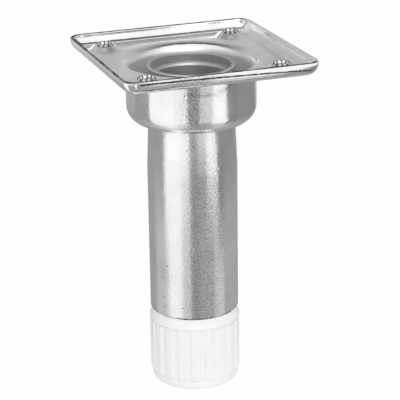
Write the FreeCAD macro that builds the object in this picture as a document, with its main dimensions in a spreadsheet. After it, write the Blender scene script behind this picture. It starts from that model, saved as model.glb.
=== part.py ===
import FreeCAD, Part
import math
import os
import Sketcher

# Steel cabinet leg: a deep-drawn mounting plate with a cup, a tube whose drawn-in head stands in the
# cup, and a plastic foot that screws in and out of a weld nut in the tube's lower end.
# The frame stands on the floor: origin under the foot's centre, +Z up, plate sides along X and Y.

os.makedirs("parts", exist_ok=True)
doc = FreeCAD.newDocument("cabinet_leg")

# Driving dimensions, in millimetres and degrees
sheet = doc.addObject("Spreadsheet::Sheet", "Dims")
driving = [
    # Mounting plate
    ("plate_top", 155.0, "top of the plate's rim above the floor"),
    ("plate_side", 86.4, "side of the square plate over its rim"),
    ("plate_corner", 6.1, "corner radius of the plate over its rim"),
    ("steel", 1.6, "sheet thickness of the pressing"),
    ("rim_height", 6.3, "height of the rim over the plate's underside"),
    ("rim_bend", 3.8, "inside bend radius between floor and rim"),
    ("lip_edge", 0.25, "broken edges along the top of the rim"),
    # Screw bosses
    ("hole_pitch", 60.0, "spacing of the screw holes both ways"),
    ("hole_dia", 5.0, "screw hole"),
    ("boss_dia", 14.4, "boss at the plate's floor"),
    ("crown_dia", 7.6, "flat crown of the boss"),
    ("boss_rise", 2.4, "crown above the plate's floor"),
    ("recess_inset", 0.6, "recess under the boss inside the boss outline"),
    # Cup
    ("cup_dia", 57.0, "outside of the cup wall"),
    ("cup_drop", 31.9, "rim top down to the cup's underside"),
    ("mouth_bend", 3.0, "under-side bend radius at the mouth"),
    ("cup_bend", 5.6, "inside bend radius at the cup's floor"),
    ("neck_lead", 1.6, "lead-in under the neck"),
    ("neck_height", 9.0, "neck around the tube above the cup's underside"),
    ("bend_steps", 4, "flats that stand for each round bend of the cup"),
    # Tube
    ("tube_dia", 40.0, "outside of the tube"),
    ("tube_wall", 1.5, "wall of the tube"),
    ("tube_low", 35.1, "tube's lower end above the floor"),
    ("head_dia", 38.3, "outside of the drawn-in head"),
    ("head_gap", 7.1, "rim top down to the tube's upper end"),
    ("taper_gap", 0.5, "cup's underside down to the taper's upper end"),
    ("taper_length", 20.0, "length of the taper"),
    ("tube_edge", 0.3, "broken outer edges of the tube"),
    # Sleeve in the head
    ("sleeve_wall", 1.3, "wall of the sleeve"),
    ("sleeve_gap", 10.8, "rim top down to the sleeve's upper end"),
    ("sleeve_length", 20.0, "length of the sleeve"),
    # End plate and weld nut
    ("end_inset", 1.5, "tube end up to the end plate"),
    ("end_thick", 2.5, "thickness of the end plate"),
    ("end_hole", 13.0, "hole of the end plate"),
    ("nut_flats", 19.0, "weld nut across flats"),
    ("nut_height", 10.0, "height of the weld nut"),
    ("nut_corner", 1.4, "height of the turned-off corners"),
    ("nut_bore", 12.0, "thread bore of the nut"),
    # Adjuster screw
    ("screw_play", 0.08, "radial clearance of the screw in the nut"),
    ("head_flats", 19.0, "screw head across flats"),
    ("head_low", 7.0, "screw head's underside above the floor"),
    ("head_height", 7.5, "height of the screw head"),
    ("screw_over", 27.5, "screw's upper end above the weld nut, foot screwed in"),
    ("screw_tip", 1.2, "chamfer at the screw's upper end"),
    # Foot
    ("foot_gap", 0.3, "foot's collar below the tube end"),
    ("collar_dia", 39.0, "collar at its top"),
    ("collar_flare", 9.0, "radius of the collar's hollow flare"),
    ("collar_height", 4.5, "foot's top down to the lip"),
    ("lip_dia", 41.1, "lip under the collar"),
    ("lip_height", 0.3, "height of the lip"),
    ("undercut_dia", 40.1, "groove under the lip"),
    ("undercut_height", 1.0, "height of the groove under the lip"),
    ("rib_dia", 41.0, "over the grip ribs"),
    ("rib_depth", 0.7, "height of a grip rib over the grooves beside it"),
    ("rib_low", 4.7, "lower end of the ribs above the floor"),
    ("rib_count", 20, "grip ribs"),
    ("rib_base", 12.8, "angle of a rib at its base"),
    ("rib_crest", 9.4, "angle of a rib at its crest"),
    ("rib_edge", 0.25, "broken edges of a grip rib"),
    ("base_dia", 39.4, "base ring under the ribs"),
    ("base_edge", 1.3, "rounding of the base ring"),
    ("foot_turn", -1.15, "angle at which the foot stands on its thread"),
    ("hub_wall", 2.0, "plastic between the screw head's corners and the cored ring"),
    ("shell_wall", 3.3, "plastic between the cored ring and the grip grooves"),
    ("sole", 6.0, "floor of the cored ring above the ground"),
    ("core_count", 6, "cored pockets"),
    ("core_angle", 48.0, "angle of one cored pocket"),
]
for row, (alias, value, note) in enumerate(driving, 1):
    sheet.set("A%d" % row, note)
    sheet.set("B%d" % row, str(value))
    sheet.setAlias("B%d" % row, alias)
doc.recompute()


def dim(alias):
    return sheet.get(alias)


def datum(body, role):
    return [f for f in body.Origin.OriginFeatures if f.Role == role][0]


def new_body(label):
    body = doc.addObject("PartDesign::Body", label)
    body.Label = label
    return body


def new_sketch(body, name, role="XZ_Plane", x=None, z=None):
    sketch = body.newObject("Sketcher::SketchObject", name)
    sketch.AttachmentSupport = [(datum(body, role), "")]
    sketch.MapMode = "FlatFace"
    if x:
        sketch.setExpression("AttachmentOffset.Base.x", x)
    if z:
        sketch.setExpression("AttachmentOffset.Base.z", z)
    return sketch


# A closed outline through corners (x, y), each an expression of the driving dimensions. A third entry
# makes the run to the next corner an arc of that radius, and the fourth says where its centre lies:
# 1 to the left of the run, -1 to the right.
def outline(sketch, corners):
    spots = [FreeCAD.Vector(float(sketch.evalExpression(c[0])), float(sketch.evalExpression(c[1])), 0)
             for c in corners]
    ends = []
    for i, corner in enumerate(corners):
        p = spots[i]
        q = spots[(i + 1) % len(spots)]
        if len(corner) == 2:
            sketch.addGeometry(Part.LineSegment(p, q), False)
            ends.append((1, 2))
            continue
        radius = float(sketch.evalExpression(corner[2]))
        side = corner[3]
        run = q - p
        across = FreeCAD.Vector(-run.y, run.x, 0).normalize()
        centre = (p + q) * 0.5 + across * side * math.sqrt(max(radius ** 2 - run.Length ** 2 / 4, 0))
        first, last = (p, q) if side > 0 else (q, p)
        angle_a = math.atan2(first.y - centre.y, first.x - centre.x)
        angle_b = math.atan2(last.y - centre.y, last.x - centre.x)
        if angle_b < angle_a:
            angle_b += 2 * math.pi
        whole = Part.Circle(centre, FreeCAD.Vector(0, 0, 1), radius)
        sketch.addGeometry(Part.ArcOfCircle(whole, angle_a, angle_b), False)
        ends.append((1, 2) if side > 0 else (2, 1))
    for i, corner in enumerate(corners):
        after = (i + 1) % len(corners)
        sketch.addConstraint(Sketcher.Constraint("Coincident", i, ends[i][1], after, ends[after][0]))
    for i, corner in enumerate(corners):
        for axis, kind, line in ((0, "DistanceX", -2), (1, "DistanceY", -1)):
            if corner[axis] == "0":
                sketch.addConstraint(Sketcher.Constraint("PointOnObject", i, ends[i][0], line))
                continue
            name = "xy"[axis] + str(i)
            at = sketch.addConstraint(Sketcher.Constraint(kind, -1, 1, i, ends[i][0], spots[i][axis]))
            sketch.renameConstraint(at, name)
            sketch.setExpression("Constraints." + name, corner[axis])
        if len(corner) == 4:
            radius = float(sketch.evalExpression(corner[2]))
            at = sketch.addConstraint(Sketcher.Constraint("Radius", i, radius))
            sketch.renameConstraint(at, "r%d" % i)
            sketch.setExpression("Constraints.r%d" % i, corner[2])
    doc.recompute()


def circle(sketch, radius):
    size = float(sketch.evalExpression(radius))
    sketch.addGeometry(Part.Circle(FreeCAD.Vector(0, 0, 0), FreeCAD.Vector(0, 0, 1), size), False)
    sketch.addConstraint(Sketcher.Constraint("Coincident", 0, 3, -1, 1))
    at = sketch.addConstraint(Sketcher.Constraint("Radius", 0, size))
    sketch.renameConstraint(at, "radius")
    sketch.setExpression("Constraints.radius", radius)
    doc.recompute()


# Corners of a round bend about a centre (x, y), from one angle to another in equal flats
def bend(x, y, radius, start, stop, steps):
    corners = []
    for i in range(steps + 1):
        angle = start + (stop - start) * i / steps
        corners.append(("%s + %s * cos(%.6f deg)" % (x, radius, angle),
                        "%s + %s * sin(%.6f deg)" % (y, radius, angle)))
    return corners


# Square with rounded corners, about the sketch's origin
def rounded_square(sketch, half, corner):
    inner = "(%s - %s)" % (half, corner)
    outline(sketch, [
        (half, "-" + inner),
        (half, inner, corner, 1),
        (inner, half),
        ("-" + inner, half, corner, 1),
        ("-" + half, inner),
        ("-" + half, "-" + inner, corner, 1),
        ("-" + inner, "-" + half),
        (inner, "-" + half, corner, 1),
    ])


# Hexagon with two of its flats facing +Y and -Y
def hexagon(sketch, flats):
    half = "(%s / 2)" % flats
    tip = "(%s / sqrt(3))" % flats
    outline(sketch, [
        (tip, "0"),
        (tip + " / 2", half),
        ("-" + tip + " / 2", half),
        ("-" + tip, "0"),
        ("-" + tip + " / 2", "-" + half),
        (tip + " / 2", "-" + half),
    ])


# Adds one feature to a body and checks that it adds or takes material as it should
def grow(body, kind, name, sketch, **values):
    before = body.Shape.Volume if body.Tip and body.Tip != sketch and not body.Shape.isNull() else 0.0
    feature = body.newObject("PartDesign::" + kind, name)
    feature.Profile = sketch
    if kind in ("Revolution", "Groove"):
        feature.ReferenceAxis = (sketch, ["V_Axis"])
        feature.Angle = 360.0
    for key, value in values.items():
        if isinstance(value, str) and key != "Type":
            feature.setExpression(key, value)
        else:
            setattr(feature, key, value)
    sketch.Visibility = False
    doc.recompute()
    after = body.Shape.Volume
    taken = kind in ("Groove", "Pocket")
    if (after >= before - 0.01) if taken else (after <= before + 0.01):
        raise RuntimeError("%s changes nothing: %.2f to %.2f" % (name, before, after))
    return feature


def dress(body, kind, name, test, size, expected):
    base = body.Tip
    edges = ["Edge%d" % (i + 1) for i, edge in enumerate(base.Shape.Edges) if test(edge)]
    if len(edges) != expected:
        raise RuntimeError("%s finds %d edges" % (name, len(edges)))
    feature = body.newObject("PartDesign::" + kind, name)
    feature.Base = (base, edges)
    feature.setExpression("Radius" if kind == "Fillet" else "Size", size)
    doc.recompute()
    return feature


def around(body, name, originals, count):
    before = body.Shape.Volume
    pattern = body.newObject("PartDesign::PolarPattern", name)
    pattern.Originals = originals
    pattern.Axis = (datum(body, "Z_Axis"), [""])
    pattern.Angle = 360.0
    pattern.setExpression("Occurrences", count)
    body.Tip = pattern
    doc.recompute()
    if abs(body.Shape.Volume - before) < 0.01:
        raise RuntimeError(name + " changes nothing")
    return pattern


def level(edge, z):
    box = edge.BoundBox
    return abs(box.ZMin - z) < 0.01 and abs(box.ZMax - z) < 0.01


# Mounting plate: one pressing, from the rim in to the neck round the tube
plate = new_body("mounting_plate")
under = "(Dims.plate_top - Dims.rim_height)"
floor = "(Dims.plate_top - Dims.rim_height + Dims.steel)"

tray = new_sketch(plate, "plate_outline", "XY_Plane", z=under)
rounded_square(tray, "(Dims.plate_side / 2)", "Dims.plate_corner")
grow(plate, "Pad", "plate_blank", tray, Length="Dims.rim_height")
low = dim("plate_top") - dim("rim_height")
dress(plate, "Fillet", "rim_outer_bend", lambda e: level(e, low), "Dims.rim_bend + Dims.steel", 8)

dish = new_sketch(plate, "rim_inner_outline", "XY_Plane", z="Dims.plate_top")
rounded_square(dish, "(Dims.plate_side / 2 - Dims.steel)", "(Dims.plate_corner - Dims.steel)")
grow(plate, "Pocket", "rim_inside", dish, Length="Dims.rim_height - Dims.steel")
top = dim("plate_top")
dress(plate, "Fillet", "rim_inner_bend", lambda e: level(e, low + dim("steel")), "Dims.rim_bend", 8)
dress(plate, "Chamfer", "rim_lip", lambda e: level(e, top), "Dims.lip_edge", 16)

# Screw bosses: a cone raised from the floor, with the matching recess for the screw head below
crown = floor + " + Dims.boss_rise"
boss = new_sketch(plate, "boss_profile", x="Dims.hole_pitch / 2", z="-Dims.hole_pitch / 2")
outline(boss, [
    ("0", floor + " - Dims.steel / 2"),
    ("Dims.boss_dia / 2", floor + " - Dims.steel / 2"),
    ("Dims.boss_dia / 2", floor),
    ("Dims.crown_dia / 2", crown),
    ("0", crown),
])
boss_raised = grow(plate, "Revolution", "boss_raised", boss)
recess = new_sketch(plate, "recess_profile", x="Dims.hole_pitch / 2", z="-Dims.hole_pitch / 2")
outline(recess, [
    ("0", under + " - 1"),
    ("Dims.boss_dia / 2 - Dims.recess_inset", under + " - 1"),
    ("Dims.boss_dia / 2 - Dims.recess_inset", under),
    ("Dims.crown_dia / 2 - Dims.recess_inset", under + " + Dims.boss_rise"),
    ("Dims.hole_dia / 2", under + " + Dims.boss_rise"),
    ("Dims.hole_dia / 2", crown + " + 1"),
    ("0", crown + " + 1"),
])
boss_recess = grow(plate, "Groove", "boss_recess", recess)
around(plate, "four_bosses", [boss_raised, boss_recess], "4")

# Cup: mouth bend, wall, floor bend and the neck turned up round the tube
mouth = new_sketch(plate, "mouth_circle", "XY_Plane", z="Dims.plate_top")
circle(mouth, "Dims.cup_dia / 2 + Dims.mouth_bend")
grow(plate, "Pocket", "mouth_opening", mouth, Length="2 * Dims.rim_height")
wall_out = "Dims.cup_dia / 2"
wall_in = "(Dims.cup_dia / 2 - Dims.steel)"
cup_low = "(Dims.plate_top - Dims.cup_drop)"
neck_in = "Dims.head_dia / 2"
neck_out = "(Dims.head_dia / 2 + Dims.steel)"
mouth_x = wall_out + " + Dims.mouth_bend"
mouth_y = under + " - Dims.mouth_bend"
turn_x = wall_in + " - Dims.cup_bend"
turn_y = cup_low + " + Dims.steel + Dims.cup_bend"
steps = int(dim("bend_steps"))
cup = new_sketch(plate, "cup_profile")
outline(
    cup,
    bend(mouth_x, mouth_y, "(Dims.mouth_bend + Dims.steel)", 90, 180, steps)
    + bend(turn_x, turn_y, "Dims.cup_bend", 0, -90, steps)
    + [
        (neck_out, cup_low + " + Dims.steel"),
        (neck_out, cup_low + " + Dims.neck_height"),
        (neck_in, cup_low + " + Dims.neck_height"),
        (neck_in, cup_low + " + Dims.neck_lead"),
        (neck_in + " + Dims.neck_lead", cup_low),
    ]
    + bend(turn_x, turn_y, "(Dims.cup_bend + Dims.steel)", -90, 0, steps)
    + bend(mouth_x, mouth_y, "Dims.mouth_bend", 180, 90, steps))
grow(plate, "Revolution", "cup", cup)

# Leg tube: straight below, drawn in to the head that stands in the cup
tube = new_body("leg_tube")
tube_top = "(Dims.plate_top - Dims.head_gap)"
tube_out = "Dims.tube_dia / 2"
tube_in = "(Dims.tube_dia / 2 - Dims.tube_wall)"
head_in = "(Dims.head_dia / 2 - Dims.tube_wall)"
taper_high = "(Dims.plate_top - Dims.cup_drop - Dims.taper_gap)"
taper_low = "(%s - Dims.taper_length)" % taper_high
tube_profile = new_sketch(tube, "tube_profile")
outline(tube_profile, [
    (tube_in, "Dims.tube_low"),
    (tube_out + " - Dims.tube_edge", "Dims.tube_low"),
    (tube_out, "Dims.tube_low + Dims.tube_edge"),
    (tube_out, taper_low),
    (neck_in, taper_high),
    (neck_in, tube_top + " - Dims.tube_edge"),
    (neck_in + " - Dims.tube_edge", tube_top),
    (head_in, tube_top),
    (head_in, taper_high),
    (tube_in, taper_low),
])
grow(tube, "Revolution", "tube_wall_turned", tube_profile)

# Head sleeve: stiffens the head where the neck grips it, with a rounded upper edge
sleeve = new_body("head_sleeve")
sleeve_top = "(Dims.plate_top - Dims.sleeve_gap)"
sleeve_low = sleeve_top + " - Dims.sleeve_length"
sleeve_in = "(Dims.head_dia / 2 - Dims.tube_wall - Dims.sleeve_wall)"
sleeve_profile = new_sketch(sleeve, "sleeve_profile")
outline(sleeve_profile, [
    (sleeve_in, sleeve_low),
    (head_in, sleeve_low),
] + bend(head_in, sleeve_top + " - Dims.sleeve_wall", "Dims.sleeve_wall", 90, 180, 2))
grow(sleeve, "Revolution", "sleeve_turned", sleeve_profile)

# End plate: a disc inside the tube's lower end that carries the load
end = new_body("end_plate")
end_low = "(Dims.tube_low + Dims.end_inset)"
end_profile = new_sketch(end, "end_profile")
outline(end_profile, [
    ("Dims.end_hole / 2", end_low),
    (tube_in, end_low),
    (tube_in, end_low + " + Dims.end_thick"),
    ("Dims.end_hole / 2", end_low + " + Dims.end_thick"),
])
grow(end, "Revolution", "end_disc", end_profile)

# Weld nut: hexagon on the end plate, its corners turned off, bored at the thread's size
nut = new_body("weld_nut")
nut_low = "(Dims.tube_low + Dims.end_inset + Dims.end_thick)"
nut_outline = new_sketch(nut, "nut_outline", "XY_Plane", z=nut_low)
hexagon(nut_outline, "Dims.nut_flats")
grow(nut, "Pad", "nut_blank", nut_outline, Length="Dims.nut_height")
nut_corner = new_sketch(nut, "nut_corner")
outline(nut_corner, [
    ("Dims.nut_flats / 2", nut_low + " + Dims.nut_height"),
    ("Dims.nut_flats / sqrt(3) + 1", nut_low + " + Dims.nut_height"),
    ("Dims.nut_flats / sqrt(3) + 1", nut_low + " + Dims.nut_height - Dims.nut_corner"),
])
grow(nut, "Groove", "nut_corners", nut_corner)
nut_bore = new_sketch(nut, "nut_bore", "XY_Plane", z=nut_low + " + Dims.nut_height")
circle(nut_bore, "Dims.nut_bore / 2")
grow(nut, "Pocket", "thread_bore", nut_bore, Length="Dims.nut_height + 1")

# Adjuster screw: hexagon head held in the foot, plain shank of the thread's outer size
screw = new_body("adjuster_screw")
screw_top = "(%s + Dims.nut_height + Dims.screw_over)" % nut_low
head = new_sketch(screw, "head_outline", "XY_Plane", z="Dims.head_low")
hexagon(head, "Dims.head_flats")
grow(screw, "Pad", "screw_head", head, Length="Dims.head_height")
shank = new_sketch(screw, "shank_circle", "XY_Plane", z="Dims.head_low + Dims.head_height")
circle(shank, "Dims.nut_bore / 2 - Dims.screw_play")
grow(screw, "Pad", "screw_shank", shank, Length=screw_top + " - Dims.head_low - Dims.head_height")
screw_end = float(shank.evalExpression(screw_top))
dress(screw, "Chamfer", "screw_end", lambda e: level(e, screw_end), "Dims.screw_tip", 1)

# Foot: moulded round the screw's head, cored from above, ribbed outside
foot = new_body("foot")
foot_top = "(Dims.tube_low - Dims.foot_gap)"
lip_high = "(%s - Dims.collar_height)" % foot_top
lip_low = "(%s - Dims.lip_height)" % lip_high
rib_high = "(%s - Dims.undercut_height)" % lip_low
groove = "(Dims.rib_dia / 2 - Dims.rib_depth)"
flare_sag = "((Dims.lip_dia - Dims.collar_dia) ^ 2 / 4 + Dims.collar_height ^ 2) / (8 * Dims.collar_flare)"
foot_profile = new_sketch(foot, "foot_profile")
outline(foot_profile, [
    ("0", "0"),
] + bend("(Dims.base_dia / 2 - Dims.base_edge)", "Dims.base_edge", "Dims.base_edge", -90, 0, 2) + [
    ("Dims.base_dia / 2", "Dims.rib_low"),
    (groove, "Dims.rib_low"),
    (groove, rib_high),
    ("Dims.undercut_dia / 2", rib_high),
    ("Dims.undercut_dia / 2", lip_low),
    ("Dims.lip_dia / 2", lip_low),
    ("Dims.lip_dia / 2", lip_high),
    ("(Dims.lip_dia + Dims.collar_dia) / 4 - " + flare_sag, lip_high + " + Dims.collar_height / 2"),
    ("Dims.collar_dia / 2", foot_top),
    ("0", foot_top),
])
grow(foot, "Revolution", "foot_body", foot_profile)
head_seat = new_sketch(foot, "head_seat", "XY_Plane", z="Dims.head_low + Dims.head_height")
hexagon(head_seat, "Dims.head_flats")
grow(foot, "Pocket", "head_cavity", head_seat, Length="Dims.head_height")
shank_seat = new_sketch(foot, "shank_seat", "XY_Plane", z=foot_top)
circle(shank_seat, "Dims.nut_bore / 2 - Dims.screw_play")
grow(foot, "Pocket", "shank_bore", shank_seat, Length=foot_top + " - Dims.head_low - Dims.head_height")

# Cored ring: six pockets open at the top, with webs between them
core = new_sketch(foot, "core_outline", "XY_Plane", z=foot_top)
swing = "(Dims.core_angle / 2 * 1deg)"
outer = "(Dims.rib_dia / 2 - Dims.rib_depth - Dims.shell_wall)"
inner = "(Dims.head_flats / sqrt(3) + Dims.hub_wall)"
outline(core, [
    ("%s * cos%s" % (outer, swing), "-%s * sin%s" % (outer, swing), outer, 1),
    ("%s * cos%s" % (outer, swing), "%s * sin%s" % (outer, swing)),
    ("%s * cos%s" % (inner, swing), "%s * sin%s" % (inner, swing), inner, -1),
    ("%s * cos%s" % (inner, swing), "-%s * sin%s" % (inner, swing)),
])
pocket = grow(foot, "Pocket", "core_pocket", core, Length=foot_top + " - Dims.sole")
around(foot, "six_pockets", [pocket], "Dims.core_count")

# Grip ribs with sloped flanks and broken edges along the crests
rib = new_sketch(foot, "rib_outline", "XY_Plane", z="Dims.rib_low")
base = "(Dims.rib_base / 2 * 1deg)"
crest = "(Dims.rib_crest / 2 * 1deg)"
outline(rib, [
    (groove + " - 0.5", "-(%s * sin%s)" % (groove, base)),
    (groove + " * cos%s" % base, "-(%s * sin%s)" % (groove, base)),
    ("Dims.rib_dia / 2 * cos%s" % crest, "-Dims.rib_dia / 2 * sin%s" % crest, "Dims.rib_dia / 2", 1),
    ("Dims.rib_dia / 2 * cos%s" % crest, "Dims.rib_dia / 2 * sin%s" % crest),
    (groove + " * cos%s" % base, groove + " * sin%s" % base),
    (groove + " - 0.5", groove + " * sin%s" % base),
])
one_rib = grow(foot, "Pad", "grip_rib", rib, Length=rib_high + " - Dims.rib_low")
around(foot, "grip_ribs", [one_rib], "Dims.rib_count")
crest_radius = dim("rib_dia") / 2
rib_length = float(rib.evalExpression(rib_high + " - Dims.rib_low"))


def crest_edge(edge):
    box = edge.BoundBox
    reach = math.hypot(box.Center.x, box.Center.y)
    upright = abs(box.ZLength - rib_length) < 0.01
    return upright and abs(reach - crest_radius) < 0.02


dress(foot, "Chamfer", "rib_edges", crest_edge, "Dims.rib_edge", 2 * int(dim("rib_count")))

# The foot and its screw stand turned together on the thread
for turned in (foot, screw):
    turned.Placement = FreeCAD.Placement(FreeCAD.Vector(0, 0, 0), FreeCAD.Rotation())
    turned.setExpression("Placement.Rotation.Yaw", "Dims.foot_turn * 1deg")

doc.recompute()
for item in doc.Objects:
    if "Invalid" in item.State or "Error" in item.State:
        raise RuntimeError("%s failed: %s" % (item.Name, item.State))
pieces = [plate, tube, sleeve, end, nut, screw, foot]
for piece in pieces:
    shape = piece.Shape
    if shape.isNull() or not shape.isValid() or len(shape.Solids) != 1:
        raise RuntimeError(piece.Label + " is not one valid solid")
for piece in pieces:
    piece.Shape.exportStep("parts/%s.step" % piece.Label)
    box = piece.Shape.BoundBox
    print("%-16s volume %9.1f mm3   z %6.2f to %6.2f   x %6.2f to %6.2f" % (
        piece.Label, piece.Shape.Volume, box.ZMin, box.ZMax, box.XMin, box.XMax))
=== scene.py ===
import bmesh
import bpy
import math
from mathutils import Matrix, Vector


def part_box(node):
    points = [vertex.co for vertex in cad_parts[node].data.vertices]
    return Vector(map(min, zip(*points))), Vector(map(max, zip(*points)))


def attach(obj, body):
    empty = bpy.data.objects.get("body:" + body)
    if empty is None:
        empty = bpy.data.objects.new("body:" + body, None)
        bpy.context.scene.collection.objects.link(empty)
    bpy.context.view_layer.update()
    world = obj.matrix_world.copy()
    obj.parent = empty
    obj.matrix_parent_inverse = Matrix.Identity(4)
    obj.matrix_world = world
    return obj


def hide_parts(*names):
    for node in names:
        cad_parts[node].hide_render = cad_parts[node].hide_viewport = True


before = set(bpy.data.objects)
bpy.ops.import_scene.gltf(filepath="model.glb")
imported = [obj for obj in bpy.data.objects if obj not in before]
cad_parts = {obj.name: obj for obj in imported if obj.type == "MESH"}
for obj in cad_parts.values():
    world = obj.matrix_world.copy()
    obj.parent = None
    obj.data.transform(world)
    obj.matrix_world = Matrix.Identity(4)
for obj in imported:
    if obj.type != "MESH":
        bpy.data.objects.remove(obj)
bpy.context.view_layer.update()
mm = 0.001
hair = 0.01 * mm        # closer than this, an edge counts as lying at a height and thread points as one
touch = 0.001 * mm      # the same where a piece is joined and where a flat sheet is filled in


def toLinear(hexColour):
    channels = [int(hexColour[i:i + 2], 16) / 255 for i in (1, 3, 5)]
    return [c / 12.92 if c <= 0.04045 else ((c + 0.055) / 1.055) ** 2.4 for c in channels] + [1.0]


def addNode(tree, kind, settings=None, links=None):
    node = tree.nodes.new(kind)
    for name, value in (settings or {}).items():
        if isinstance(name, int) or name in node.inputs:
            node.inputs[name].default_value = value
        else:
            setattr(node, name, value)
    for name, socket in (links or {}).items():
        tree.links.new(socket, node.inputs[name])
    return node


def newMaterial(name):
    material = bpy.data.materials.new(name)
    material.use_nodes = True
    material.node_tree.nodes.clear()
    return material, material.node_tree


def setStops(ramp, stops):
    elements = ramp.color_ramp.elements
    while len(elements) > 1:
        elements.remove(elements[-1])
    elements[0].position = stops[0][0]
    elements[0].color = stops[0][1]
    for place, colour in stops[1:]:
        elements.new(place).color = colour


zinc = {
    # the cloud's size, and the part of its noise that turns from dark to light and from gloss to satin
    "light": "#FDFDFD", "dark": "#F2F2F2", "cloud": 12 * mm, "toneFrom": (0.35, 0.65),
    "roughness": (0.13, 0.21), "glossFrom": (0.3, 0.7),
    "grain": 1.2 * mm, "grainHeight": 0.10 * mm,      # coarser than the real grain, so that it shows
    "wave": 7 * mm, "waveHeight": 0.014 * mm,
    # the specks too are coarser than real. They are painted reflection grain: dark specks on the side where
    # the reflections break up, few at the first angle from their side and outside it, most at the second
    # angle and within it, and thinned out from the first height to the second
    "speck": 0.55 * mm, "speckColour": "#888888", "speckFrom": (0.45, 0.66),
    "speckSide": -92, "speckSpread": (32, 10), "speckShare": (0.04, 0.62),
    "speckHead": (98 * mm, 116 * mm), "speckHeadShare": 0.2,
    "pit": 5 * mm, "pitSize": 0.4 * mm, "pitCore": 0.6, "pitColour": "#6D6D6D",
    # the grey painted into recesses as their shade, and the rougher finish there
    "dull": "#C8C8C8", "dullRoughness": 0.5,
    "cut": "#3F3F3F", "cutRoughness": 0.4, "tear": 6 * mm, "tearFrom": (0.42, 0.55),
    "bevel": 0.35 * mm,
}
# The drawn plate has a lower grain, but the press rumples it into short deep waves. Its painted specks keep
# to a narrow side, the shade painted inside its cup is lighter, and its edges are rounded in the mesh
drawn = dict(zinc, roughness=(0.1, 0.17), grainHeight=0.05 * mm, wave=5 * mm, waveHeight=0.03 * mm,
             speckSide=-108, speckSpread=(13, 3), speckHead=None, dull="#EEEEEE", bevel=0)


# Zinc-plated mild steel: bright and grey. Its fine grain breaks up the edges of the highlights, the slow
# wave of the pressing bends the reflections, the cloud is uneven gloss, painted dark specks on one side
# stand in for the grain in its reflections there, and here and there is a small dark pit
def makeZincSteel(name, values, recess=None, cut=None, seam=None, satin=None, torn=False):
    material, tree = newMaterial(name)
    spot = addNode(tree, "ShaderNodeTexCoord")
    place = spot.outputs["Object"]
    grain = addNode(tree, "ShaderNodeTexNoise",
                    {"Scale": 1 / values["grain"], "Detail": 2.0, "Roughness": 0.6}, {"Vector": place})
    wave = addNode(tree, "ShaderNodeTexNoise", {"Scale": 1 / values["wave"], "Detail": 1.0},
                   {"Vector": place})
    cloud = addNode(tree, "ShaderNodeTexNoise", {"Scale": 1 / values["cloud"], "Detail": 3.0},
                    {"Vector": place})
    tone = addNode(tree, "ShaderNodeValToRGB", links={"Fac": cloud.outputs["Fac"]})
    start, end = values["toneFrom"]
    setStops(tone, [(start, toLinear(values["dark"])), (end, toLinear(values["light"]))])
    start, end = values["glossFrom"]
    low, high = values["roughness"]
    gloss = addNode(tree, "ShaderNodeMapRange",
                    {"From Min": start, "From Max": end, "To Min": low, "To Max": high},
                    {"Value": cloud.outputs["Fac"]})
    pits = addNode(tree, "ShaderNodeTexVoronoi", {"Scale": 1 / values["pit"]}, {"Vector": place})
    size = values["pitSize"] / values["pit"]
    pitted = addNode(tree, "ShaderNodeMapRange",
                     {"From Min": size, "From Max": values["pitCore"] * size, "To Min": 0.0, "To Max": 1.0},
                     {"Value": pits.outputs["Distance"]})
    finish = {"colour": tone.outputs["Color"], "rough": gloss.outputs["Result"]}
    # painted reflection grain as dark specks, then the small dark pits
    layOver(tree, finish, findReflectionSpecks(tree, place, values), values["speckColour"])
    layOver(tree, finish, pitted.outputs["Result"], values["pitColour"])
    if satin:
        layOver(tree, finish, findSatin(tree, place, satin), roughness=satin["roughness"])
    # painted shade in the recesses: a darker grey, with a rougher finish
    if recess:
        layOver(tree, finish, findRecess(tree, place, recess), values["dull"], values["dullRoughness"])
    # the torn notches painted dark: bare steel, and the shade in them
    if torn:
        bareAndShaded = addNode(tree, "ShaderNodeAttribute", {"attribute_name": "bareAndShaded"})
        layOver(tree, finish, bareAndShaded.outputs["Fac"], values["cut"])
    # the edge's thin dark line: bare steel, and painted shade and reflection along it
    if cut:
        layOver(tree, finish, findCut(tree, place, cut, values), values["cut"], values["cutRoughness"])
    waved = addNode(tree, "ShaderNodeBump", {"Strength": 1.0, "Distance": values["waveHeight"]},
                    {"Height": wave.outputs["Fac"]})
    if values["bevel"]:
        soft = addNode(tree, "ShaderNodeBevel", {"samples": 6, "Radius": values["bevel"]})
        tree.links.new(soft.outputs["Normal"], waved.inputs["Normal"])
    bump = addNode(tree, "ShaderNodeBump", {"Strength": 1.0, "Distance": values["grainHeight"]},
                   {"Height": grain.outputs["Fac"], "Normal": waved.outputs["Normal"]})
    normal = bump.outputs["Normal"]
    if seam:
        normal = addSeam(tree, place, seam, normal)
    steel = addNode(tree, "ShaderNodeBsdfPrincipled", {"Metallic": 1.0},
                    {"Base Color": finish["colour"], "Roughness": finish["rough"], "Normal": normal})
    addNode(tree, "ShaderNodeOutputMaterial", links={"Surface": steel.outputs["BSDF"]})
    return material


# Lays another finish over the steel's own where the share is 1: its colour, its roughness or both
def layOver(tree, finish, share, hexColour=None, roughness=None):
    if hexColour:
        colour = addNode(tree, "ShaderNodeMix", {"data_type": "RGBA", 7: toLinear(hexColour)},
                         {0: share, 6: finish["colour"]})
        finish["colour"] = colour.outputs[2]
    if roughness:
        rough = addNode(tree, "ShaderNodeMix", {"data_type": "FLOAT", 3: roughness},
                        {0: share, 2: finish["rough"]})
        finish["rough"] = rough.outputs[0]
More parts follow.
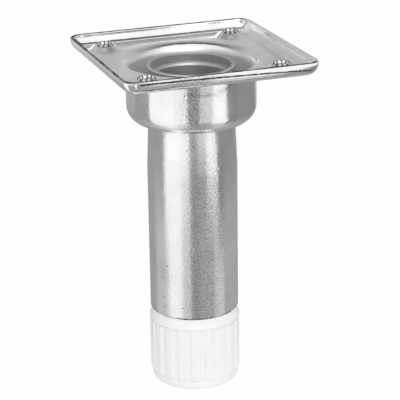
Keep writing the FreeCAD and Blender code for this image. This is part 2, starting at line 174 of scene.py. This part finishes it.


# Painted reflection grain: dark specks on the side where the reflections break up. They thin out away from
# that side, and on the tube also towards its head, where its reflection is clean
def findReflectionSpecks(tree, place, values):
    flat = addNode(tree, "ShaderNodeVectorMath", {"operation": "MULTIPLY", 1: (1, 1, 0)}, {0: place})
    level = addNode(tree, "ShaderNodeVectorMath", {"operation": "NORMALIZE"}, {0: flat.outputs[0]})
    side = math.radians(values["speckSide"])
    facing = addNode(tree, "ShaderNodeVectorMath",
                     {"operation": "DOT_PRODUCT", 1: (math.cos(side), math.sin(side), 0)},
                     {0: level.outputs[0]})
    far, near = [math.cos(math.radians(angle)) for angle in values["speckSpread"]]
    few, most = values["speckShare"]
    facingShare = addNode(tree, "ShaderNodeMapRange",
                     {"From Min": far, "From Max": near, "To Min": few, "To Max": most},
                     {"Value": facing.outputs["Value"]})
    amount = facingShare.outputs["Result"]
    if values["speckHead"]:
        full, clean = values["speckHead"]
        axes = addNode(tree, "ShaderNodeSeparateXYZ", links={"Vector": place})
        head = addNode(tree, "ShaderNodeMapRange",
                       {"From Min": full, "From Max": clean,
                        "To Min": 1.0, "To Max": values["speckHeadShare"]}, {"Value": axes.outputs["Z"]})
        less = addNode(tree, "ShaderNodeMath", {"operation": "MULTIPLY"},
                       {0: amount, 1: head.outputs["Result"]})
        amount = less.outputs[0]
    noise = addNode(tree, "ShaderNodeTexNoise", {"Scale": 1 / values["speck"], "Detail": 1.0},
                    {"Vector": place})
    start, end = values["speckFrom"]
    dark = addNode(tree, "ShaderNodeMapRange", {"From Min": start, "From Max": end},
                   {"Value": noise.outputs["Fac"]})
    share = addNode(tree, "ShaderNodeMath", {"operation": "MULTIPLY"},
                    {0: amount, 1: dark.outputs["Result"]})
    return share.outputs[0]


# Inside the tray no tool rubbed the sheet, and it keeps the satin of the rolling mill: above this height,
# within this reach of the axis both ways, and so much further on the right that it takes in the wall there
traySatin = {"height": 149.9 * mm, "reach": 37.6 * mm, "right": 5.2 * mm, "blend": 1.2 * mm,
             "roughness": 0.31}


def findSatin(tree, place, values):
    sides = addNode(tree, "ShaderNodeSeparateXYZ", links={"Vector": place})
    deep = addNode(tree, "ShaderNodeMath", {"operation": "ABSOLUTE"}, {0: sides.outputs["Y"]})
    left = addNode(tree, "ShaderNodeMath", {"operation": "MULTIPLY", 1: -1.0}, {0: sides.outputs["X"]})
    right = addNode(tree, "ShaderNodeMath", {"operation": "SUBTRACT", 1: values["right"]},
                    {0: sides.outputs["X"]})
    wide = addNode(tree, "ShaderNodeMath", {"operation": "MAXIMUM"},
                   {0: left.outputs[0], 1: right.outputs[0]})
    reach = addNode(tree, "ShaderNodeMath", {"operation": "MAXIMUM"},
                    {0: wide.outputs[0], 1: deep.outputs[0]})
    within = addNode(tree, "ShaderNodeMapRange",
                     {"From Min": values["reach"], "From Max": values["reach"] + values["blend"],
                      "To Min": 1.0, "To Max": 0.0}, {"Value": reach.outputs[0]})
    upper = addNode(tree, "ShaderNodeMath", {"operation": "GREATER_THAN", 1: values["height"]},
                    {0: sides.outputs["Z"]})
    share = addNode(tree, "ShaderNodeMath", {"operation": "MULTIPLY"},
                    {0: within.outputs["Result"], 1: upper.outputs[0]})
    return share.outputs[0]


# Deep in the cup and inside the tube the zinc is painted a darker grey, as the shade that falls there, and
# made
# rougher: within one radius below the height, and within another above it. The inner pieces are painted so
# all over
cupRecess = {"height": 126.2 * mm, "below": 0.0, "above": 27.0 * mm, "blend": 1.4 * mm}
tubeRecess = {"height": 124.7 * mm, "below": 18.7 * mm, "above": 18.7 * mm, "blend": 0.4 * mm}
innerRecess = {"height": 0.0, "below": 40 * mm, "above": 40 * mm, "blend": 0.4 * mm}


def findRecess(tree, place, values):
    axes = addNode(tree, "ShaderNodeSeparateXYZ", links={"Vector": place})
    flat = addNode(tree, "ShaderNodeCombineXYZ", links={"X": axes.outputs["X"], "Y": axes.outputs["Y"]})
    reach = addNode(tree, "ShaderNodeVectorMath", {"operation": "LENGTH"}, {0: flat.outputs[0]})
    upper = addNode(tree, "ShaderNodeMath", {"operation": "GREATER_THAN", 1: values["height"]},
                    {0: axes.outputs["Z"]})
    limit = addNode(tree, "ShaderNodeMapRange", {"To Min": values["below"], "To Max": values["above"]},
                    {"Value": upper.outputs[0]})
    over = addNode(tree, "ShaderNodeMath", {"operation": "SUBTRACT"},
                   {0: reach.outputs["Value"], 1: limit.outputs[0]})
    share = addNode(tree, "ShaderNodeMapRange",
                    {"From Min": 0.0, "From Max": values["blend"], "To Min": 1.0, "To Max": 0.0},
                    {"Value": over.outputs[0]})
    return share.outputs["Result"]


# A sheared or sawn edge is rough bare steel, and its dark is also painted shade and dark reflection along
# the edge:
# a thin dark line that comes and goes along the edge, bright at the first height and darkest at the second.
# Further to the right than the last measure it stays bright, which takes in the right side of the rim and
# nothing of the tube
lipCut = {"bright": 154.68 * mm, "bareAndShaded": 154.8 * mm, "least": 0.6, "right": 41.3 * mm}
tubeCut = {"bright": 35.85 * mm, "bareAndShaded": 35.55 * mm, "least": 0.1, "right": 40 * mm}


def findCut(tree, place, cut, values):
    axes = addNode(tree, "ShaderNodeSeparateXYZ", links={"Vector": place})
    edge = addNode(tree, "ShaderNodeMapRange", {"From Min": cut["bright"], "From Max": cut["bareAndShaded"]},
                   {"Value": axes.outputs["Z"]})
    torn = addNode(tree, "ShaderNodeTexNoise", {"Scale": 1 / values["tear"], "Detail": 5.0},
                   {"Vector": place})
    start, end = values["tearFrom"]
    shown = addNode(tree, "ShaderNodeMapRange",
                    {"From Min": start, "From Max": end, "To Min": cut["least"], "To Max": 1.0},
                    {"Value": torn.outputs["Fac"]})
    share = addNode(tree, "ShaderNodeMath", {"operation": "MULTIPLY"},
                    {0: edge.outputs["Result"], 1: shown.outputs["Result"]})
    rough = addNode(tree, "ShaderNodeMath", {"operation": "LESS_THAN", 1: cut["right"]},
                    {0: axes.outputs["X"]})
    left = addNode(tree, "ShaderNodeMath", {"operation": "MULTIPLY"},
                   {0: share.outputs[0], 1: rough.outputs[0]})
    return left.outputs[0]


tubeSeam = {"angle": -82.6, "width": 0.35 * mm, "height": 0.012 * mm}


# The tube's weld, planed flush: a low narrow ridge straight down the tube, at one angle round it
def addSeam(tree, place, values, normal):
    turned = addNode(tree, "ShaderNodeVectorRotate",
                     {"rotation_type": "Z_AXIS", "Angle": -math.radians(values["angle"])},
                     {"Vector": place})
    across = addNode(tree, "ShaderNodeSeparateXYZ", links={"Vector": turned.outputs["Vector"]})
    away = addNode(tree, "ShaderNodeMath", {"operation": "ABSOLUTE"}, {0: across.outputs["Y"]})
    ridge = addNode(tree, "ShaderNodeMapRange",
                    {"interpolation_type": "SMOOTHSTEP", "From Min": 0.0, "From Max": values["width"],
                     "To Min": 1.0, "To Max": 0.0}, {"Value": away.outputs[0]})
    front = addNode(tree, "ShaderNodeMath", {"operation": "GREATER_THAN", 1: 0.0},
                    {0: across.outputs["X"]})
    height = addNode(tree, "ShaderNodeMath", {"operation": "MULTIPLY"},
                     {0: ridge.outputs["Result"], 1: front.outputs[0]})
    bump = addNode(tree, "ShaderNodeBump", {"Strength": 1.0, "Distance": values["height"]},
                   {"Height": height.outputs[0], "Normal": normal})
    return bump.outputs["Normal"]


plastic = {"colour": "#FAFAFA", "roughness": 0.42, "ior": 1.49,
           "grain": 0.8 * mm, "grainHeight": 0.003 * mm, "bevel": 0.3 * mm}


# White polypropylene, injection moulded: satin, with softened edges and the faint grain of the mould
def makeMouldedPlastic(name, values):
    material, tree = newMaterial(name)
    spot = addNode(tree, "ShaderNodeTexCoord")
    grain = addNode(tree, "ShaderNodeTexNoise", {"Scale": 1 / values["grain"], "Detail": 2.0},
                    {"Vector": spot.outputs["Object"]})
    soft = addNode(tree, "ShaderNodeBevel", {"samples": 6, "Radius": values["bevel"]})
    bump = addNode(tree, "ShaderNodeBump", {"Strength": 1.0, "Distance": values["grainHeight"]},
                   {"Height": grain.outputs["Fac"], "Normal": soft.outputs["Normal"]})
    body = addNode(tree, "ShaderNodeBsdfPrincipled",
                   {"Base Color": toLinear(values["colour"]), "Roughness": values["roughness"],
                    "IOR": values["ior"]}, {"Normal": bump.outputs["Normal"]})
    addNode(tree, "ShaderNodeOutputMaterial", links={"Surface": body.outputs["BSDF"]})
    return material


drawnZinc = makeZincSteel("zinc plated drawn steel", drawn, cupRecess, lipCut, satin=traySatin, torn=True)
tubeZinc = makeZincSteel("zinc plated welded tube", zinc, tubeRecess, tubeCut, tubeSeam)
# the inner pieces carry the painted recess shade all over
innerZinc = makeZincSteel("zinc plated steel with painted shade", zinc, innerRecess)
screwZinc = makeZincSteel("zinc plated rolled thread", zinc)
whitePlastic = makeMouldedPlastic("white moulded polypropylene", plastic)
finishes = {
    "mounting_plate": drawnZinc, "leg_tube": tubeZinc, "head_sleeve": innerZinc, "end_plate": innerZinc,
    "weld_nut": innerZinc, "adjuster_screw": screwZinc, "foot": whitePlastic,
}
for node, material in finishes.items():
    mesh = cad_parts[node].data
    mesh.materials.clear()
    mesh.materials.append(material)
print("materials set")


# Points (along, up) of an arc
def arc(x, y, radius, start, stop, steps):
    turns = [math.radians(start + (stop - start) * i / steps) for i in range(steps + 1)]
    return [(x + radius * math.cos(a), y + radius * math.sin(a)) for a in turns]


# A line of points (radius, height) turned once round the upright axis through (x, y)
def turnLine(mesh, line, steps, x=0.0, y=0.0):
    points = [mesh.verts.new((x + radius, y, z)) for radius, z in line]
    edges = [mesh.edges.new(pair) for pair in zip(points, points[1:])]
    bmesh.ops.spin(mesh, geom=points + edges, cent=(x, y, 0), axis=(0, 0, 1), angle=2 * math.pi,
                   steps=steps, use_merge=True)


# Fills a flat sheet between every open edge that lies at one height
def fillSheet(mesh, height):
    for face in mesh.faces:
        face.smooth = True
    rims = [e for e in mesh.edges
            if e.is_boundary and all(abs(v.co.z - height) < touch for v in e.verts)]
    made = bmesh.ops.triangle_fill(mesh, use_beauty=True, use_dissolve=False, edges=rims)
    for face in made["geom"]:
        if isinstance(face, bmesh.types.BMFace):
            face.smooth = False


def addObject(name, mesh, material):
    data = bpy.data.meshes.new(name)
    mesh.to_mesh(data)
    mesh.free()
    data.materials.append(material)
    made = bpy.data.objects.new(name, data)
    bpy.context.scene.collection.objects.link(made)
    return made


def makePiece(name, mesh, material, body, slot, *nodes):
    bmesh.ops.remove_doubles(mesh, verts=mesh.verts, dist=touch)
    bmesh.ops.recalc_face_normals(mesh, faces=mesh.faces)
    piece = addObject(name, mesh, material)
    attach(piece, body)
    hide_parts(*nodes)


pressing = {
    "steel": 1.6 * mm,
    "rimHeight": 6.3 * mm, "rimBend": 3.8 * mm, "corner": 6.1 * mm, "lip": 0.55 * mm,
    "holePitch": 60 * mm, "hole": 2.5 * mm, "boss": 7.2 * mm, "bossRise": 2.4 * mm, "recessInset": 0.6 * mm,
    "crown": 3.95 * mm, "collarTop": 3.75 * mm, "collarIn": 3.3 * mm, "collarDrop": 0.45 * mm,
    # the torn collar: height of its burr, number of petals, angle of one of them, how narrow the notches
    # between them are and how strongly they are painted dark, as bare steel and shade
    "burr": 0.45 * mm, "petals": 10, "phase": 52, "notch": 4, "tornShare": 1.6,
    "cup": 28.5 * mm, "mouthBend": 3.0 * mm, "cupBend": 5.6 * mm,
    "neck": 19.16 * mm, "neckHeight": 9.0 * mm, "neckBend": 0.5 * mm,
    # steps round the cup and a boss, then along each bend
    "round": 192, "bossRound": 72,
    "cornerSteps": 12, "bendSteps": 12, "bossSteps": 10, "lipSteps": 4, "neckSteps": (3, 5),
}


# The tray with its upturned rim: a box without a lid, its corners and its foot bent round, given its wall.
# Its two flat sheets are taken out, to be filled again round the cup and the bosses
def makeTray(mesh, values, low, high):
    made = bmesh.ops.create_cube(mesh, size=1.0)
    tall = high.z - low.z
    bmesh.ops.scale(mesh, verts=made["verts"], vec=(high.x - low.x, high.y - low.y, tall))
    bmesh.ops.translate(mesh, verts=made["verts"], vec=(0, 0, low.z + tall / 2))
    lid = [f for f in mesh.faces if f.normal.z > 0.5]
    bmesh.ops.delete(mesh, geom=lid, context="FACES_ONLY")
    upright = [e for e in mesh.edges if abs(e.verts[0].co.z - e.verts[1].co.z) > tall / 2]
    bmesh.ops.bevel(mesh, geom=upright, offset=values["corner"], segments=values["cornerSteps"],
                    affect="EDGES", profile=0.5, material=-1)
    around = [e for e in mesh.edges if all(v.co.z < low.z + hair for v in e.verts)]
    bmesh.ops.bevel(mesh, geom=around, offset=values["rimBend"] + values["steel"],
                    segments=values["bendSteps"], affect="EDGES", profile=0.5, material=-1)
    bmesh.ops.recalc_face_normals(mesh, faces=mesh.faces)
    if sum(f.normal.z * f.calc_area() for f in mesh.faces) > 0:
        bmesh.ops.reverse_faces(mesh, faces=mesh.faces)
    bmesh.ops.solidify(mesh, geom=mesh.faces, thickness=values["steel"])
    crest = [e for e in mesh.edges if all(v.co.z > high.z - hair for v in e.verts)]
    lips = [e for e in crest if len(e.link_faces) == 2
            and abs(e.link_faces[0].normal.z - e.link_faces[1].normal.z) > 0.5]
    bmesh.ops.bevel(mesh, geom=lips, offset=values["lip"], segments=values["lipSteps"], affect="EDGES",
                    profile=0.5, material=-1)
    sheets = [f for f in mesh.faces if len(f.verts) > values["cornerSteps"]]
    bmesh.ops.delete(mesh, geom=sheets, context="FACES_ONLY")


# One pierced boss: it climbs to its crown and a ragged collar, goes down the hole and out again below.
# A float attribute marks the torn notches, which the material paints dark, as bare steel and as the shade
# in them
def makeBoss(mesh, values, x, y, floor, under):
    rise = values["bossRise"]
    run = values["boss"] - values["crown"]
    steps = values["bossSteps"]
    climb = [(i / steps, rise * i / steps) for i in range(steps + 1)]
    crown = floor + rise - values["collarDrop"]
    peak = floor + rise + values["burr"]
    middle = (values["collarIn"] + values["hole"]) / 2
    recess = values["boss"] - values["recessInset"]
    line = [(values["boss"] - run * along, floor + up) for along, up in climb if floor + up < crown]
    line += [(values["crown"], crown), (values["collarTop"], peak), (values["collarIn"], peak),
             (middle, (peak + under + rise) / 2), (values["hole"], under + rise)]
    line += [(recess - run * along, under + up) for along, up in climb[::-1]]
    old = set(mesh.verts)
    turnLine(mesh, line, values["bossRound"], x, y)
    bareAndShaded = mesh.verts.layers.float["bareAndShaded"]
    phase = math.radians(values["phase"])
    for vert in set(mesh.verts) - old:
        reach = math.hypot(vert.co.x - x, vert.co.y - y)
        if vert.co.z < crown - hair and reach > values["collarIn"]:
            continue
        turn = math.atan2(vert.co.y - y, vert.co.x - x)
        gap = (0.5 - 0.5 * math.cos(values["petals"] * (turn - phase))) ** values["notch"]
        vert[bareAndShaded] = min(1.0, values["tornShare"] * gap)
        if vert.co.z > peak - hair:
            vert.co.z -= values["burr"] * gap


# The mounting plate as one pressing, with its bends as smooth as the press leaves them
def makePlate(values, material):
    low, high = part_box("mounting_plate")
    steel = values["steel"]
    under = high.z - values["rimHeight"]
    floor = under + steel
    steps = values["bendSteps"]
    innerSteps, outerSteps = values["neckSteps"]
    mesh = bmesh.new()
    mesh.verts.layers.float.new("bareAndShaded")
    makeTray(mesh, values, Vector((low.x, low.y, under)), high)
    cup = values["cup"]
    mouth = values["mouthBend"]
    turn = values["cupBend"]
    neck = values["neck"]
    curl = values["neckBend"]
    neckTop = low.z + values["neckHeight"]
    section = (arc(cup + mouth, under - mouth, mouth + steel, 90, 180, steps)
               + arc(cup - steel - turn, low.z + steel + turn, turn, 0, -90, steps)
               + arc(neck + steel + curl, low.z + steel + curl, curl, 270, 180, innerSteps)
               + [(neck + steel, neckTop), (neck, neckTop)]
               + arc(neck + steel + curl, low.z + steel + curl, steel + curl, 180, 270, outerSteps)
               + arc(cup - steel - turn, low.z + steel + turn, turn + steel, -90, 0, steps)
               + arc(cup + mouth, under - mouth, mouth, 180, 90, steps))
    turnLine(mesh, section, values["round"])
    pitch = values["holePitch"] / 2
    for x, y in ((pitch, pitch), (-pitch, pitch), (-pitch, -pitch), (pitch, -pitch)):
        makeBoss(mesh, values, x, y, floor, under)
    bmesh.ops.remove_doubles(mesh, verts=mesh.verts, dist=touch)
    fillSheet(mesh, floor)
    fillSheet(mesh, under)
    makePiece("plate_pressing", mesh, material, "leg", "zinc_steel", "mounting_plate")


makePlate(pressing, drawnZinc)
print("plate made")


thread = {"pitch": 1.75 * mm, "outer": 5.92 * mm, "root": 4.9 * mm, "crest": 0.12, "tip": 1.2 * mm,
          "shankLow": 14.5 * mm, "flats": 19 * mm, "headTurn": 30, "turn": -1.15, "steps": 48}


# The adjuster screw with its rolled thread: a toothed line turned once round while it climbs one pitch,
# cut off at both ends, tapered at its tip and set on a hexagon head
def makeScrew(values, material):
    low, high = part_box("adjuster_screw")
    pitch = values["pitch"]
    outer = values["outer"]
    neck = values["shankLow"]
    teeth = math.ceil((high.z - neck) / pitch) + 1
    mesh = bmesh.new()
    line = []
    for tooth in range(teeth):
        start = neck - pitch + tooth * pitch
        for share, radius in ((0, values["root"]), (0.5 - values["crest"] / 2, outer),
                              (0.5 + values["crest"] / 2, outer)):
            line.append(mesh.verts.new((radius, 0, start + share * pitch)))
    edges = [mesh.edges.new(pair) for pair in zip(line, line[1:])]
    bmesh.ops.spin(mesh, geom=line + edges, cent=(0, 0, 0), axis=(0, 0, 1), angle=2 * math.pi,
                   dvec=(0, 0, pitch / values["steps"]), steps=values["steps"], use_merge=False)
    bmesh.ops.remove_doubles(mesh, verts=mesh.verts, dist=hair)
    for z, way in ((neck, -1), (high.z, 1)):
        cut = bmesh.ops.bisect_plane(mesh, geom=mesh.verts[:] + mesh.edges[:] + mesh.faces[:],
                                     plane_co=(0, 0, z), plane_no=(0, 0, way), clear_outer=True)
        rim = [e for e in cut["geom_cut"] if isinstance(e, bmesh.types.BMEdge)]
        bmesh.ops.edgenet_fill(mesh, edges=rim)
    for vert in mesh.verts:
        reach = math.hypot(vert.co.x, vert.co.y)
        most = outer - max(0, values["tip"] - (high.z - vert.co.z))
        if reach > most:
            vert.co.x *= most / reach
            vert.co.y *= most / reach
    corner = values["flats"] / math.sqrt(3)
    head = bmesh.ops.create_cone(mesh, cap_ends=True, segments=6, radius1=corner, radius2=corner,
                                 depth=neck - low.z)
    bmesh.ops.rotate(mesh, verts=head["verts"], cent=(0, 0, 0),
                     matrix=Matrix.Rotation(math.radians(values["headTurn"]), 3, "Z"))
    bmesh.ops.translate(mesh, verts=head["verts"], vec=(0, 0, (neck + low.z) / 2))
    bmesh.ops.rotate(mesh, verts=mesh.verts, cent=(0, 0, 0),
                     matrix=Matrix.Rotation(math.radians(values["turn"]), 3, "Z"))
    makePiece("threaded_screw", mesh, material, "adjuster", "zinc_steel", "adjuster_screw")


makeScrew(thread, screwZinc)
print("screw made")


def stagePiece(name, mesh, material):
    piece = addObject(name, mesh, material)
    return piece


# 1 for what the camera sees, straight or in the metal, and 0 for the light that falls on the object
def seenShare(tree):
    path = addNode(tree, "ShaderNodeLightPath")
    seen = addNode(tree, "ShaderNodeMath", {"operation": "MAXIMUM"},
                   {0: path.outputs["Is Camera Ray"], 1: path.outputs["Is Glossy Ray"]})
    either = addNode(tree, "ShaderNodeMath", {"operation": "MAXIMUM"},
                     {0: seen.outputs[0], 1: path.outputs["Is Transmission Ray"]})
    return either.outputs[0]


floorPaper = {"size": 3.0, "colour": "#F4F4F4", "shown": 0.97}      # shown: the rest keeps the shadow


# White for the camera and in the metal's reflections, plain paper for the light that falls on it
def makeFloor(values):
    mesh = bmesh.new()
    bmesh.ops.create_grid(mesh, x_segments=1, y_segments=1, size=values["size"] / 2)
    material, tree = newMaterial("white studio paper")
    paper = addNode(tree, "ShaderNodeBsdfDiffuse", {"Color": toLinear(values["colour"])})
    glow = addNode(tree, "ShaderNodeEmission", {"Color": toLinear("#FFFFFF"), "Strength": 1.0})
    share = addNode(tree, "ShaderNodeMath", {"operation": "MULTIPLY", 1: values["shown"]},
                    {0: seenShare(tree)})
    mix = addNode(tree, "ShaderNodeMixShader",
                  links={0: share.outputs[0], 1: paper.outputs[0], 2: glow.outputs[0]})
    addNode(tree, "ShaderNodeOutputMaterial", links={"Surface": mix.outputs[0]})
    stagePiece("floor", mesh, material)


room = {"colour": "#FFFFFF", "light": 0.70, "shown": 1.0}      # how strongly it lights, and how it looks


def makeWorld(values):
    world = bpy.data.worlds.new("studio")
    bpy.context.scene.world = world
    world.use_nodes = True
    tree = world.node_tree
    tree.nodes.clear()
    strength = addNode(tree, "ShaderNodeMapRange", {"To Min": values["light"], "To Max": values["shown"]},
                       {"Value": seenShare(tree)})
    light = addNode(tree, "ShaderNodeBackground", {"Color": toLinear(values["colour"])},
                    {"Strength": strength.outputs[0]})
    addNode(tree, "ShaderNodeOutputWorld", links={"Surface": light.outputs[0]})


# In metres, and in degrees round the leg from the camera, with the picture's right positive
tent = {
    "ring": 0.10, "foot": 0.045, "lift": 0.0005, "tall": 0.135, "step": 6,
    # from, to, lower tone, upper tone, the two heights between which the tone changes
    "cards": [
        (-182, -104, "#9E9E9E", "#BCBCBC", 0.096, 0.126),
        (-104, -69, "#BABABA", "#9A9A9A", 0.038, 0.090),
        (-69, -60, "#D4D4D4", "#FFFFFF", 0.022, 0.064),
        (-60, -27, "#F8F8F8", "#FFFFFF", 0.038, 0.090),
        (-27, -6, "#D2D2D2", "#F6F6F6", 0.038, 0.090),
        (-6, 12, "#989898", "#9C9C9C", 0.038, 0.090),
        (12, 33, "#A8A8A8", "#D6D6D6", 0.078, 0.100),
        (33, 51, "#AEAEAE", "#FFFFFF", 0.040, 0.090),
        (51, 61, "#D0D0D0", "#FFFFFF", 0.046, 0.090),
        (61, 78, "#D4D4D4", "#888888", 0.014, 0.060),
        (78, 136, "#A6A6A6", "#8E8E8E", 0.038, 0.090),
        (136, 178, "#A0A0A0", "#C8C8C8", 0.094, 0.120),
    ],
    # behind the leg, for the tray: from, to, its two heights, then tones and heights as for the cards
    "backdrop": (98, 264, 0.136, 0.34, "#C0C0C0", "#868686", 0.20, 0.30),
    # overhead, for the bends and flanks that lean to the camera: from, to, both behind the leg, tone
    "ceiling": 0.75, "ceilingSide": 0.6,
    "strips": [(0.02, 0.22, "#505050"), (0.22, 0.45, "#949494")],
    # under the near side of the rim: two draw the dark lines along its bend and one greys its left corner:
    # corners (x, y) in the part's own frame, tone
    "flagHeight": 0.1365,
    "flags": [
        ([(-0.030, -0.100), (0.052, -0.0482), (0.052, -0.0448), (-0.030, -0.075)], "#060606"),
        ([(-0.020, -0.0427), (0.052, -0.0427), (0.052, -0.0413), (-0.020, -0.0413)], "#303030"),
        ([(-0.037, -0.045), (-0.058, -0.082), (-0.090, -0.052), (-0.045, -0.037)], "#A0A0A0"),
    ],
    # on the floor, for the dark line along the cup's bottom bend: from, to, its two radii, tone
    "floorRing": (-40, 56, 0.036, 0.063, "#0C0C0C"), "ringLift": 0.001,
    # just inside the cards: one ends the cup's right highlight, and one in front greys the inside of the
    # rim on the right: from, to, the two heights, tone
    "patchRing": 0.099,
    "patches": [(56, 66, 0.098, 0.135, "#8E8E8E"), (-75, 8, 0.146, 0.205, "#9C9C9C")],
}


# A card that only the metal sees, changing from one tone to another between two heights
def makeCard(name, mesh, lower, upper, low=0.0, high=1.0):
    material, tree = newMaterial(name)
    spot = addNode(tree, "ShaderNodeTexCoord")
    axes = addNode(tree, "ShaderNodeSeparateXYZ", links={"Vector": spot.outputs["Object"]})
    share = addNode(tree, "ShaderNodeMapRange", {"From Min": low, "From Max": high},
                    {"Value": axes.outputs["Z"]})
    tone = addNode(tree, "ShaderNodeValToRGB", links={"Fac": share.outputs["Result"]})
    setStops(tone, [(0.0, toLinear(lower)), (1.0, toLinear(upper))])
    glow = addNode(tree, "ShaderNodeEmission", {"Strength": 1.0}, {"Color": tone.outputs["Color"]})
    addNode(tree, "ShaderNodeOutputMaterial", links={"Surface": glow.outputs[0]})
    card = stagePiece(name, mesh, material)
    card.visible_camera = False
    card.visible_diffuse = False
    card.visible_shadow = False
    card.visible_transmission = False


# A strip (radius, height) swept part of the way round the leg, in degrees round from the camera
def sweepStrip(values, line, azimuth, start, stop):
    mesh = bmesh.new()
    points = [mesh.verts.new((radius, 0, z)) for radius, z in line]
    edges = [mesh.edges.new(pair) for pair in zip(points, points[1:])]
    turn = Matrix.Rotation(math.radians(start - 90 - azimuth), 3, "Z")
    bmesh.ops.rotate(mesh, verts=points, cent=(0, 0, 0), matrix=turn)
    bmesh.ops.spin(mesh, geom=points + edges, cent=(0, 0, 0), axis=(0, 0, 1),
                   angle=math.radians(stop - start), steps=max(2, round((stop - start) / values["step"])))
    return mesh


def flatCard(corners, z, turn=0.0):
    mesh = bmesh.new()
    points = [mesh.verts.new((x, y, z)) for x, y in corners]
    mesh.faces.new(points)
    bmesh.ops.rotate(mesh, verts=points, cent=(0, 0, 0),
                     matrix=Matrix.Rotation(math.radians(turn), 3, "Z"))
    return mesh


# The tent of cards round the leg, whose tones the tube and the cup show as upright bands
def makeTent(values, azimuth):
    ring = values["ring"]
    wall = [(values["foot"], values["lift"]), (ring, values["lift"]), (ring, values["tall"])]
    for i, (start, stop, *fade) in enumerate(values["cards"]):
        makeCard("card_%d" % i, sweepStrip(values, wall, azimuth, start, stop), *fade)
    start, stop, low, high, *fade = values["backdrop"]
    makeCard("backdrop", sweepStrip(values, [(ring, low), (ring, high)], azimuth, start, stop), *fade)
    side = values["ceilingSide"]
    for i, (near, far, tone) in enumerate(values["strips"]):
        corners = [(-side, near), (side, near), (side, far), (-side, far)]
        makeCard("ceiling_%d" % i, flatCard(corners, values["ceiling"], -azimuth), tone, tone)
    for i, (corners, tone) in enumerate(values["flags"]):
        makeCard("flag_%d" % i, flatCard(corners, values["flagHeight"]), tone, tone)
    start, stop, inner, outer, tone = values["floorRing"]
    line = [(inner, values["ringLift"]), (outer, values["ringLift"])]
    makeCard("floor_ring", sweepStrip(values, line, azimuth, start, stop), tone, tone)
    for i, (start, stop, low, high, tone) in enumerate(values["patches"]):
        line = [(values["patchRing"], low), (values["patchRing"], high)]
        makeCard("patch_%d" % i, sweepStrip(values, line, azimuth, start, stop), tone, tone)


# Fitted to the photo. Right and up move the picture's middle off the target, in metres at the leg
camera = {"lens": 138.6, "sensor": 36, "nearest": 0.01, "furthest": 20,
          "distance": 0.686, "elevation": 20.34, "azimuth": 19.97, "roll": -0.77,
          "target": (0, 0, 0.095), "right": -0.00331, "up": 0.00943}


def makeCamera(values):
    elevation, azimuth, roll = [math.radians(values[k]) for k in ("elevation", "azimuth", "roll")]
    forward = Vector((math.sin(azimuth) * math.cos(elevation), math.cos(azimuth) * math.cos(elevation),
                      -math.sin(elevation)))
    level = Vector((math.cos(azimuth), -math.sin(azimuth), 0))
    upright = level.cross(forward)
    right = level * math.cos(roll) + upright * math.sin(roll)
    up = upright * math.cos(roll) - level * math.sin(roll)
    place = Vector(values["target"]) - right * values["right"] - up * values["up"]
    place = place - forward * values["distance"]
    data = bpy.data.cameras.new("camera")
    data.lens = values["lens"]
    data.sensor_width = values["sensor"]
    data.clip_start = values["nearest"]
    data.clip_end = values["furthest"]
    view = bpy.data.objects.new("camera", data)
    bpy.context.scene.collection.objects.link(view)
    view.matrix_world = Matrix((
        (right.x, up.x, -forward.x, place.x), (right.y, up.y, -forward.y, place.y),
        (right.z, up.z, -forward.z, place.z), (0, 0, 0, 1)))
    bpy.context.scene.camera = view


softbox = {"place": (-0.13, -0.80, 0.62), "aim": (0, 0, 0.06), "size": (0.6, 0.45), "power": 3.0}


def addSoftbox(name, values):
    data = bpy.data.lights.new(name, "AREA")
    data.shape = "RECTANGLE"
    data.size, data.size_y = values["size"]
    data.energy = values["power"]
    lamp = bpy.data.objects.new(name, data)
    bpy.context.scene.collection.objects.link(lamp)
    lamp.location = values["place"]
    lamp.rotation_mode = "QUATERNION"
    lamp.rotation_quaternion = (Vector(values["aim"]) - Vector(values["place"])).to_track_quat("-Z", "Y")


makeFloor(floorPaper)
makeWorld(room)
makeTent(tent, camera["azimuth"])
makeCamera(camera)
addSoftbox("softbox over the front", softbox)
bpy.context.scene.view_settings.view_transform = "Standard"
print("studio set")
